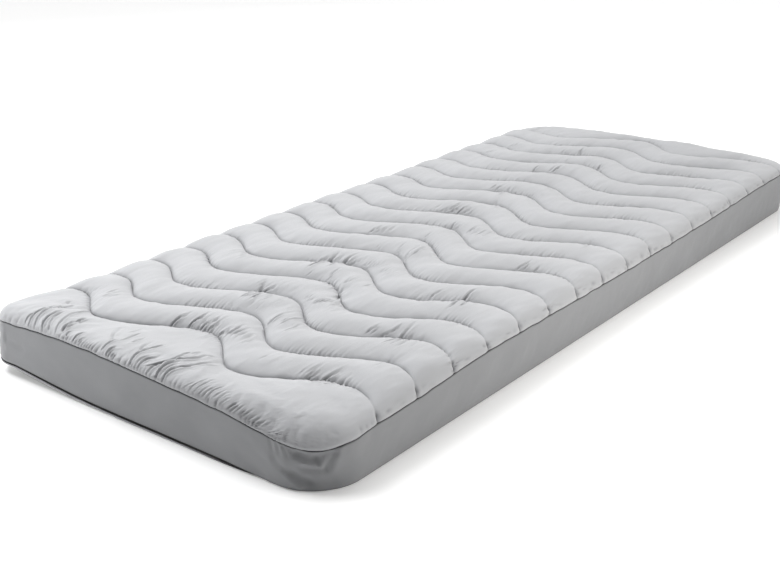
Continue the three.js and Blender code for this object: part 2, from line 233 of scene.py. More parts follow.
def cloth_material(name, colour, shade, thread, sheen, nap=0.00012, patch=9.0, painted_shade=None):
    """A cloth finish: two crossed sets of threads a thread's width apart on the piece's own map,
    a fine uneven nap on top of them, and slow changes of colour and gloss over the piece. The last
    argument is the share of the colour that is left where the piece's painted shade map is full:
    shade painted into its seams, creases, gaps and undersides."""
    made = bpy.data.materials.new(name)
    made.use_nodes = True
    tree = made.node_tree

    def node(kind, *firsts, **settings):
        """A new node. Outputs of other nodes are joined to its first inputs, or to the input that
        they are named for, and other values are set."""
        new = tree.nodes.new(kind)
        for key, value in settings.items():
            if hasattr(new, key):
                setattr(new, key, value)
            elif isinstance(value, bpy.types.NodeSocket):
                tree.links.new(value, new.inputs[key.replace("_", " ")])
            else:
                new.inputs[key.replace("_", " ")].default_value = value
        for value, socket in zip(firsts, new.inputs):
            tree.links.new(value, socket)
        return new

    place = node("ShaderNodeTexCoord").outputs
    turns = 2 * math.pi / (WAVE_TURNS * thread * MM)
    weave = [node("ShaderNodeTexWave", place["UV"], bands_direction=way, Scale=turns, Distortion=0.6,
                  Detail=1.0).outputs["Fac"] for way in "XY"]
    fuzz = node("ShaderNodeTexNoise", place["Object"], Scale=NAP_SCALE, Detail=4.0, Roughness=0.7).outputs["Fac"]
    slow = node("ShaderNodeTexNoise", place["Object"], Scale=patch, Detail=4.0, Roughness=0.55).outputs["Fac"]

    # Height: the threads where they cross, with the nap on them.
    crossed = node("ShaderNodeMath", *weave, operation="MULTIPLY").outputs["Value"]
    height = node("ShaderNodeMath", crossed, fuzz, operation="ADD").outputs["Value"]
    bump = node("ShaderNodeBump", Height=height, Strength=NAP_STRENGTH, Distance=nap).outputs["Normal"]

    # Colour: slow patches, a little darker between the threads, and darker still where the piece's painted shade
    # map puts shade, in seams, creases, gaps and undersides.
    tone = node("ShaderNodeMapRange", slow, From_Min=0.3, From_Max=0.7).outputs["Result"]
    mix = node("ShaderNodeMix", data_type="RGBA", Factor=tone)
    tones = {"A": [c * (1 - shade) for c in colour], "B": [min(1.0, c * (1 + shade)) for c in colour]}
    for socket in mix.inputs:
        if socket.type == "RGBA":
            socket.default_value = (*tones[socket.name], 1)
    painted = next(socket for socket in mix.outputs if socket.type == "RGBA")
    scales = [node("ShaderNodeMapRange", height, From_Max=1.6, To_Min=THREAD_TONE[0], To_Max=THREAD_TONE[1])]
    if painted_shade is not None:
        painted_shade_fac = node("ShaderNodeAttribute", attribute_name="painted_shade").outputs["Fac"]
        scales.append(node("ShaderNodeMapRange", painted_shade_fac, To_Min=1.0, To_Max=painted_shade))
    for scale in scales:
        scaled = node("ShaderNodeVectorMath", painted, operation="SCALE", Scale=scale.outputs["Result"])
        painted = scaled.outputs["Vector"]

    dull = node("ShaderNodeMapRange", slow, To_Min=ROUGHNESS[0], To_Max=ROUGHNESS[1]).outputs["Result"]
    shader = tree.nodes["Principled BSDF"].inputs
    for finish, output in (("Normal", bump), ("Base Color", painted), ("Roughness", dull)):
        tree.links.new(output, shader[finish])
    shader["Specular IOR Level"].default_value = SHINE
    shader["Sheen Weight"].default_value = sheen
    shader["Sheen Roughness"].default_value = SHEEN_ROUGHNESS
    return made


mattress_place = outline(MATTRESS_STEP)
rounder = CORNER_ROOM * fade(mattress_place[4], CORNER_ROOM_REACH)
mattress_loops = lift_corner(ring_points(mattress_place, np.array(MATTRESS_INSET)[:, None] + rounder,
                                         np.array(MATTRESS_RISE)[:, None]))
mattress_rows, mattress_count = mattress_loops.shape[:2]
last_row = (mattress_rows - 1) * mattress_count
mattress = add_piece("foam_mattress", mattress_loops, ring_faces(mattress_rows, mattress_count, False),
                     caps=[range(mattress_count - 1, -1, -1), range(last_row, last_row + mattress_count)])
add_weave_map(mattress, mattress_loops[..., 0], mattress_loops[..., 1])
mattress.data.materials.append(cloth_material("woven_ticking", TICKING, shade=0.03, thread=1.4, sheen=0.05))
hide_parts("mattress")
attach(mattress, "root")

# Hem band: a ribbed elastic tape, 40 mm wide, that draws the hem in under the mattress. It lies
# flat on the underside, and its outer edge turns up as a thin lip that shows at the foot end only.

# How far in the band's lip lies where it doesn't show.
TUCKED = 8.5
EDGE = (
    # x, y, seam height, extra filling, hem height, flare of the hem, lip of the band in from the edge,
    # width of the top's rounded crown
    (-330, -950, 107, 8, 7, 2, 0, 42),
    (-190, -950, 113, 5, 6.5, 0, 1.5, 40),
    (0, -950, 106, 2, 6, 0, 1, 40),
    (190, -950, 95, 0, 5, 1.5, 0.5, 46),
    (240, -950, 89, -1, 4, 2.5, 2.5, 52),
    (300, -950, 81, -4, 0.4, 1, TUCKED, 64),
    (371, -921, 73, -7, 0.4, 0, TUCKED, 76),
    (400, -810, 83, -4, 0.4, 0, TUCKED, 62),
    (400, -700, 86, 0, 0.4, 0, TUCKED, 48),
    (400, -500, 95, 0, 0.4, 0, TUCKED, 44),
    (400, -250, 93, 0, 0.4, 0, TUCKED, 42),
    (400, 30, 91, 0, 0.4, 0, TUCKED, 42),
    (400, 420, 95, 0, 0.4, 0, TUCKED, 42),
    (400, 800, 103, 0, 0.4, 0, TUCKED, 45),
    (150, 950, 102, 5, 0.4, 0, TUCKED, 45),
    (-150, 950, 98, 0, 0.4, 0, TUCKED, 45),
    (-365, 915, 86, -11, 0.4, 0, TUCKED, 45),
    (-400, 560, 88, -10, 0.4, 0, TUCKED, 45),
    (-400, 0, 92, -4, 0.4, 0, TUCKED, 45),
    (-400, -740, 96, 3, 0.4, 0, TUCKED, 45),
    (-400, -810, 97, 5, 3.5, 0, TUCKED, 42),
    (-400, -850, 100, 7, 6, 6, 2, 40),
    (-398, -918, 103, 8, 7, 8, -5, 36),
)
SEAM, FILL, HEM, FLARE, LIP, CROWN = 2, 3, 4, 5, 6, 7
LEFT_START, FOOT_START = 137, 411
SEAM_WAVES = 0.55
SEAM_STILL = 25.0
EDGE_STEP = 3.2
CLOTH = 2.0
GAP = 0.3
# The lip's profile and the flat tape's: how far in from the lip's edge or the outline, and how high.
LIP_INSET = (1.4, 0.5, 0.05, 0.0, 0.1, 0.35, 0.7, 1.2, 1.8, 2.2, 2.4)
LIP_UP = (0.0, 0.08, 0.3, 0.5, 0.75, 0.92, 1.0, 1.02, 1.0, 0.92, 0.75)
LIP_WIDTH = 2.7
LIP_LEAST = 2.05
LIP_DROP = 1.5
LIP_PROUD, LIP_PROUD_OVER = 2.2, 3.0
BAND_INSET = (LIP_WIDTH, 10, 20, 30, 39.2, 39.8, 40.0, 39.8, 39.2, 30, 20, 12)
BAND_RISE = (CLOTH, CLOTH, CLOTH, CLOTH, CLOTH, 1.8, 1.0, 0.2, 0, 0, 0, 0)
RIBS = (
    # depth, spacing, start
    (0.12, 13.0, 0.0), (0.08, 31.0, 1.0))
BAND_GREY = (0.33, 0.334, 0.343)
# Painted shade on the lip: along the foot end it grows from 120 to 190 mm right of the middle, and it covers the
# top of the lip's profile.
BAND_SHADE_FROM, BAND_SHADE_FULL = 120, 190
LIP_SHADE_UP, LIP_SHADE_OVER = 0.8, 0.15


def corner_radius(x, y):
    """Plan radius of the corner in whose quarter a point lies."""
    foot = np.where(x < 0, CORNERS["foot left"], CORNERS["foot right"])
    head = np.where(x < 0, CORNERS["head left"], CORNERS["head right"])
    return np.where(y < 0, foot, head)


def corner_part(x, y):
    """That corner's radius, how far a point lies past the corner's centre in x and in y, and
    whether it lies past it in both, so inside the round part."""
    r = corner_radius(x, y)
    past_x, past_y = np.abs(x) - (WIDTH / 2 - r), np.abs(y) - (LENGTH / 2 - r)
    return r, past_x, past_y, (past_x > 0) & (past_y > 0)


def nearer_side(x, y):
    """Whether a long side lies nearer to a point than a short one."""
    return WIDTH / 2 - np.abs(x) < LENGTH / 2 - np.abs(y)


def edge_run(x, y):
    """How far along the edge the nearest edge point lies, from the middle of the long side round
    the corner to the middle of the short side, and how much it belongs to the long side. The
    count starts elsewhere in each quarter, so that no two quarters look alike."""
    r, past_x, past_y, in_corner = corner_part(x, y)
    turn = np.where(in_corner, np.arctan2(past_y, past_x), 0.0)
    on_short = ~in_corner & ~nearer_side(x, y)
    past_corner = LENGTH / 2 - r + r * math.pi / 2 + (WIDTH / 2 - r - np.abs(x))
    run = np.where(on_short, past_corner, np.minimum(np.abs(y), LENGTH / 2 - r) + r * turn)
    return run + LEFT_START * (x < 0) + FOOT_START * (y < 0), (1 - on_short) * (1 - turn / (math.pi / 2))


def edge_curve(column, x, y):
    """A smooth curve round the edge through one column of EDGE, read at the points' directions
    from the middle. Cubic between two rows, with harmonic mean slopes, so it never overshoots."""
    rows = np.array(EDGE, dtype=float)
    turn = np.arctan2(rows[:, 1] / LENGTH, rows[:, 0] / WIDTH)
    order = np.argsort(turn)
    turn, value = turn[order], rows[order, column]
    ends = np.append(turn, turn[0] + 2 * math.pi)
    values = np.append(value, value[0])
    slopes = np.diff(values) / np.diff(ends)
    before = np.roll(slopes, 1)
    same = before * slopes > 0
    tangents = np.where(same, 2 * before * slopes / np.where(same, before + slopes, 1), 0)
    tangents = np.append(tangents, tangents[0])
    at = np.arctan2(y / LENGTH, x / WIDTH)
    at = np.where(at < turn[0], at + 2 * math.pi, at)
    i = np.clip(np.searchsorted(ends, at, side="right") - 1, 0, len(turn) - 1)
    wide = ends[i + 1] - ends[i]
    t = (at - ends[i]) / wide
    ease = t * t * (3 - 2 * t)
    slope_a, slope_b = tangents[i] * wide, tangents[i + 1] * wide
    return values[i] + (values[i + 1] - values[i]) * ease + t * (1 - t) * (slope_a * (1 - t) - slope_b * t)


def seam_line(x, y):
    """Height of the seam: its smooth curve round the edge, plus small uneven waves where the
    stitching takes in more or less cloth, none at the middles of the sides. The waves are two
    sines along the edge whose spacing itself swings."""
    along, _ = edge_run(x, y)
    wave = np.sin(along / 17 + 2 * np.sin(along / 41))
    wave = wave + 0.7 * np.sin(along / 9.5 + 1.5 * np.sin(along / 29 + 1))
    still = fade(np.minimum(np.abs(x), np.abs(y)), SEAM_STILL)
    return edge_curve(SEAM, x, y) + SEAM_WAVES * wave * (1 - still)


def add_painted_shade_map(piece, value):
    """Painted shade at each point, from 0 for none to 1 for the darkest, kept as a point attribute that the
    material reads.
    """
    layer = piece.data.attributes.new("painted_shade", "FLOAT", "POINT")
    layer.data.foreach_set("value", np.ravel(value).astype(np.float32))


edge_place = outline(EDGE_STEP)
edge_x, edge_y, _, _, edge_along = edge_place
hem_height = edge_curve(HEM, edge_x, edge_y)
seam_height = seam_line(edge_x, edge_y)
lip_in = edge_curve(LIP, edge_x, edge_y)
lip_in = lip_in - LIP_PROUD * np.clip((TUCKED - lip_in) / LIP_PROUD_OVER, 0, 1)
lip_top = np.maximum(LIP_LEAST, hem_height - 1.5 * GAP - LIP_DROP)
lip_up = np.array(LIP_UP)[:, None]
ribs = sum(deep * np.sin(edge_along * 2 * math.pi / spacing + start) for deep, spacing, start in RIBS)
lip_inset = lip_in + np.array(LIP_INSET)[:, None] + ribs * lip_up
lip_height = lip_up * (lip_top - 0.05)
flat_inset = np.maximum(np.array(BAND_INSET)[:, None], lip_in + LIP_WIDTH)
flat_height = np.array(BAND_RISE)[:, None] + 0 * flat_inset
band_loops = lift_corner(ring_points(edge_place, np.vstack([lip_inset, flat_inset]),
                                     np.vstack([lip_height, flat_height])))
band_rows, edge_count = band_loops.shape[:2]
hem_band = add_piece("elastic_hem_band", band_loops, ring_faces(band_rows, edge_count, True), smooth_under=50)
band_steps = np.linalg.norm(np.diff(band_loops, axis=0), axis=-1).mean(axis=1)
band_across = np.concatenate([[0], np.cumsum(band_steps)])
add_weave_map(hem_band, edge_along, band_across[:, None])
# Painted shade on the band: the flat tape under the mattress is painted dark. So is the lip's upper edge, in
# shade under the skirt's hem, and the lip along the right part of the foot end, which lies in the skirt's
# shadow.
in_shade = np.interp(edge_x, (BAND_SHADE_FROM, BAND_SHADE_FULL), (0, 1)) * (edge_y < -LENGTH / 2 + 1)
band_painted_shade = np.ones((band_rows, edge_count))
band_painted_shade[:len(LIP_UP)] = np.maximum(in_shade, np.clip((lip_up - LIP_SHADE_UP) / LIP_SHADE_OVER, 0, 1))
add_painted_shade_map(hem_band, band_painted_shade)
hem_band.data.materials.append(cloth_material("ribbed_elastic", BAND_GREY, shade=0.08, thread=1.1, nap=0.0003,
                                              sheen=0.1, painted_shade=0.12))
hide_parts("hem_band")
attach(hem_band, "root")

# Skirt: one strip of smooth grey stretch cloth, stitched round the top and drawn over the mattress's
# side. Its hem is turned up inside and stitched. It sits in soft folds where the near corner pulls.
# Shade is painted into its colour in a thin line under the seam and along the hem.

SKIRT_ROWS = 26
SKIRT_UP = (0.0, 0.04, 0.1, 0.3, 0.6, 0.85, 1.0)
SKIRT_OUT = (-2.5, -0.2, 0.9, 1.9, 2.3, 1.4, -0.5)
SKIRT_GREY = (0.237, 0.241, 0.249)
RIM_THICK = 3.0
SEAM_GROOVE, SEAM_REACH, SEAM_ROUND = 3.2, 1.8, 2.2
HEM_TURN, HEM_DENT, HEM_DENT_WIDTH = 13.0, 0.35, 0.9
SLACK, FINE_SLACK = 1.2, 0.22
# Painted shade on the skirt: how far the dark lines under the seam and along the hem reach, and how dark the
# hem's line is, darker where the hem is raised.
STITCH_SHADE_REACH = 1.1
HEM_SHADE, HEM_SHADE_RAISED = 0.3, 0.6
FOLDS = (
    # from: along, part up; to: along, part up; half width, depth. Below zero it is a ridge.
    (-37, 0.9, -8, 0.8, 7, 5.0),
    (-8, 0.86, 12, 0.92, 6, 3.0),
    (-40, 0.74, 2, 0.66, 3.4, -2.4),
    (-30, 0.56, 6, 0.54, 5, 2.8),
    (-44, 0.4, -20, 0.22, 9, 6.5),
    (-16, 0.28, 14, 0.18, 12, 2.2),
    (-76, 0.6, -58, 0.4, 7, 2.8),
    (-66, 0.42, -34, 0.1, 3.4, -2.8),
    (20, 0.88, 6, 0.6, 5, 3.0),
    (33, 0.95, 20, 0.55, 6, -1.2),
    (-86, 0.96, -81, 0.8, 3.2, 1.9),
    (-74, 0.95, -67, 0.76, 3.2, 2.4),
    (-62, 0.95, -53, 0.78, 3.2, 2.5),
    (-51, 0.94, -42, 0.82, 3.2, 2.2),
    (-120, 0.75, -88, 0.6, 8, -1.2),
    (40, 0.5, 95, 0.75, 14, 2),
    (-150, 0.3, -105, 0.12, 12, 2),
    (-818, 0.45, -770, 0.4, 4.5, 5),
    (-745, 0.62, -690, 0.55, 9, 2),
)


def fold_depth(along, up, tall):
    """Troughs in the skirt: each is a line on the strip, as deep as its depth on the line and
    falling off by the square of the distance from it over its half width."""
    depth = np.zeros(np.broadcast(along, up).shape)
    for a, up_a, b, up_b, wide, deep in FOLDS:
        run, rise = b - a, (up_b - up_a) * tall
        at, lift = along - a, (up - up_a) * tall
        part = np.clip((at * run + lift * rise) / (run * run + rise * rise), 0, 1)
        depth = depth + deep * fade(np.hypot(at - part * run, lift - part * rise), wide)
    return depth


def lumps(x, y, sizes, count, seed, stretch=1.0):
    """Soft unevenness between about -1 and 1: a sum of plane waves in many directions, with
    lengths between two sizes and fixed seeded phases, drawn out along the bed by stretch."""
    draw = np.random.default_rng(seed)
    total = np.zeros_like(x)
    for _ in range(count):
        heading, phase = draw.uniform(0, math.pi), draw.uniform(0, 2 * math.pi)
        turns = 2 * math.pi / draw.uniform(*sizes)
        total += np.cos(turns * (x * math.cos(heading) + y * math.sin(heading) / stretch) + phase)
    return total / math.sqrt(count)


def smooth_through(at, xs, ys):
    """A curve through a few points, eased between them by averaging the straight run over a width."""
    spread = np.linspace(-0.06, 0.06, 9)
    return np.mean([np.interp(np.clip(at + s, 0, 1), xs, ys) for s in spread], axis=0)


skirt_tall = seam_height - RIM_THICK - 2 * GAP - hem_height
skirt_up = ((1 - np.cos(np.linspace(0, math.pi, SKIRT_ROWS))) / 2)[:, None]
above_hem, below_seam = skirt_up * skirt_tall, (1 - skirt_up) * skirt_tall
strip_along = edge_along + 0 * skirt_up
slack = lumps(strip_along, above_hem, (55, 190), 16, seed=21, stretch=0.8)
slack = slack + FINE_SLACK * lumps(strip_along, above_hem, (16, 46), 24, seed=22, stretch=0.7)
flare = edge_curve(FLARE, edge_x, edge_y) * (1 - skirt_up) ** 2
skirt_out = smooth_through(skirt_up, SKIRT_UP, SKIRT_OUT) + flare
skirt_out = skirt_out - fold_depth(edge_along, skirt_up, skirt_tall)
skirt_out = skirt_out - SEAM_GROOVE * np.clip(1 - below_seam / SEAM_REACH, 0, 1) ** SEAM_ROUND
skirt_out = skirt_out + SLACK * slack * np.sin(math.pi * skirt_up) ** 0.6
skirt_out = skirt_out - HEM_DENT * fade(above_hem - HEM_TURN, HEM_DENT_WIDTH)
skirt_height = hem_height + above_hem
inner_rows = slice(None, None, -2)
skirt_loops = lift_corner(ring_points(edge_place, np.vstack([-skirt_out, CLOTH - skirt_out[inner_rows]]),
                                      np.vstack([skirt_height, skirt_height[inner_rows]])))
skirt_rows = skirt_loops.shape[0]
skirt = add_piece("skirt_strip", skirt_loops, ring_faces(skirt_rows, edge_count, True), smooth_under=60)
add_weave_map(skirt, edge_along, np.vstack([skirt_height, 2 * MATTRESS_TOP + skirt_height[inner_rows]]))
# Painted shade: the skirt is darkened in a thin line under the seam, where the groove lies in shade, and along
# the hem, more where the hem stands off the floor.
hem_shade = HEM_SHADE + HEM_SHADE_RAISED * np.clip((hem_height - 2) / 2, 0, 1)
skirt_painted_shade = fade(below_seam, STITCH_SHADE_REACH) + hem_shade * fade(above_hem, STITCH_SHADE_REACH)
add_painted_shade_map(skirt, np.vstack([skirt_painted_shade, skirt_painted_shade[inner_rows]]))
skirt.data.materials.append(cloth_material("smooth_stretch_cloth", SKIRT_GREY, shade=0.05, thread=0.7,
                                           nap=0.00008, sheen=0.15, patch=5.0, painted_shade=0.15))
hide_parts("skirt")
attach(skirt, "root")

# Quilted top: a panel of soft brushed cloth over loose filling, quilted by wavy lines across the
# bed and drawn down to the seam all round. The filling stands up between the lines, and the cloth
# puckers where the waves pull it. The stitching is part of the panel.

TOP_GREY = (0.395, 0.4, 0.414)
STITCH_HEIGHT = 104.0
LINES = 17
FIRST_LINE = 141.0
PITCH = 104.2
TURNS = (
    # place across, rise towards the head, and its change from one line to the next
    (-550, -33, 0), (-342, 32, -2.2), (-231, -31, 0), (-12, 44, 0), (129, -44, 1.3), (317, 31, 0),
    (468, -33, 0))
PUFF, PUFF_ROUNDNESS, PUFF_UNEVEN = 16.0, 0.5, 0.09
SLANT_LOSS = 0.4
CROWN_WIDTH = 60.0
CROWN_POWER, CROWN_BEND = 2.3, 0.6
# The filling is level beside the long sides, more so at the right and towards the head: share, reach.
HEAD_FROM, HEAD_OVER = -500, 1100
LEVEL_LEFT, LEVEL_LEFT_REACH = 0.55, 48.0
LEVEL_RIGHT, LEVEL_RIGHT_REACH = 0.5, 42.0
LEVEL_HEAD, LEVEL_HEAD_REACH = 0.15, 28.0
LEVEL_WIDE, LEVEL_WIDE_REACH = 0.3, 150.0
LEVEL_FILL = 0.9
# The lines' grooves grow faint towards the right, most of all over the bend of the edge.
FAINT_RIGHT, FAINT_REACH, FAINT_HEAD_REACH = 0.55, 60.0, 90.0
FAINT_BEND, FAINT_BEND_AT, FAINT_BEND_REACH = 0.4, 26.0, 16.0
LINE_GROOVE, GROOVE_WIDTH, GROOVE_ROUND = 1.6, 2.6, 1.4
GROOVE_UNEVEN, GROOVE_HEAD_LOSS = 0.35, 0.3
GROOVE_SOFT, GROOVE_SHARP = 0.4, 0.5
SOFT_LUMPS, FINE_LUMPS = 0.5, 0.16
CROWN_STEPS = 30
MIDDLE_STEP = 2.2
FINE_STEP = 1.5
FINE_PART = (-320.0, 330.0)
CHANNEL_ROWS, CHANNEL_CROWDING = 14, 0.75
END_ROWS, END_CROWDING = 18, 1.25
SETTLE_FRAMES, SETTLE_MOST = 12, 4.0
# The panel while it settles: light and easily bent, with 2% of spare cloth where it is slack.
FABRIC = {
    "vertex_group_mass": "stitched", "pin_stiffness": 1.0, "quality": 4, "mass": 0.0002,
    "tension_stiffness": 12.0, "compression_stiffness": 12.0, "shear_stiffness": 4.0, "bending_stiffness": 0.02,
    "tension_damping": 8.0, "compression_damping": 8.0, "shear_damping": 8.0, "bending_damping": 0.5,
    "vertex_group_shrink": "taut", "shrink_min": -0.02, "use_pressure": True, "uniform_pressure_force": 0.4,
}
SPARE_SHARE, SPARE_REACH = 0.45, 12.0
STITCH_HELD = 0.1
# The creases: what the settling starts from, and the sharp bottoms added after it.
PUCKER_DEPTH, PUCKER_WIDTH = 0.6, 0.9
SHARP_DEPTH, SHARP_WIDTH, SHARP_FOOT = 1.9, 0.54, 0.35
PUCKER_PINCH, PUCKER_SPREAD = 0.62, 0.6
PUCKER_LEAD, PUCKER_START, PUCKER_END = 0.15, 0.2, 0.6
PUCKER_TAIL = 0.3
# Their ridges and the fainter troughs beyond: share of the depth, place and width in half widths.
RIDGE, RIDGE_AT, RIDGE_WIDTH = 0.38, 1.95, 0.95
SECOND, SECOND_AT, SECOND_WIDTH = 0.32, 3.6, 0.75
LINE_PUCKER, LINE_PUCKER_REACH = 0.85, 11.0
# The gathers at the seam: pull at the long sides, at the quilting lines there, and at the ends.
GATHER_SIDE, GATHER_LINE, GATHER_LINE_REACH = 2.2, 1.3, 16.0
GATHER_END, GATHER_FOOT = 3.4, 0.4
GATHER_WIDTH, GATHER_FOOT_NARROWER = 0.5, 0.16
GATHER_CORNER_LOSS = 0.8
MIDDLE_STILL = 8.0
FOOT_RIGHT_FROM, FOOT_RIGHT_OVER = 40, 60
TUCK, TUCK_LEVEL = 2.5, 0.85
ROW_TUCK, ROW_TUCK_WIDTH = 4.5, 2.6
ROW_TUCK_AT, ROW_TUCK_REACH = 3, 5.5
# The underside: inset and drop of its first loops, its slope, the mattress's shoulder under it, and the painted
# shade on each of its loops, darker further under.
UNDER_INSET = (-0.1, 0.4, 2.4, 14.0, 22.0, 34.0)
UNDER_DROP = (1.1, 2.2, 2.8)
RIM_DEEP, RIM_SLOPE = 3.5, 1.2
SHOULDER = (77.5, 81.5)
UNDER_SHADE = (0.2, 0.8, 1.0, 1.0, 1.0, 1.0)
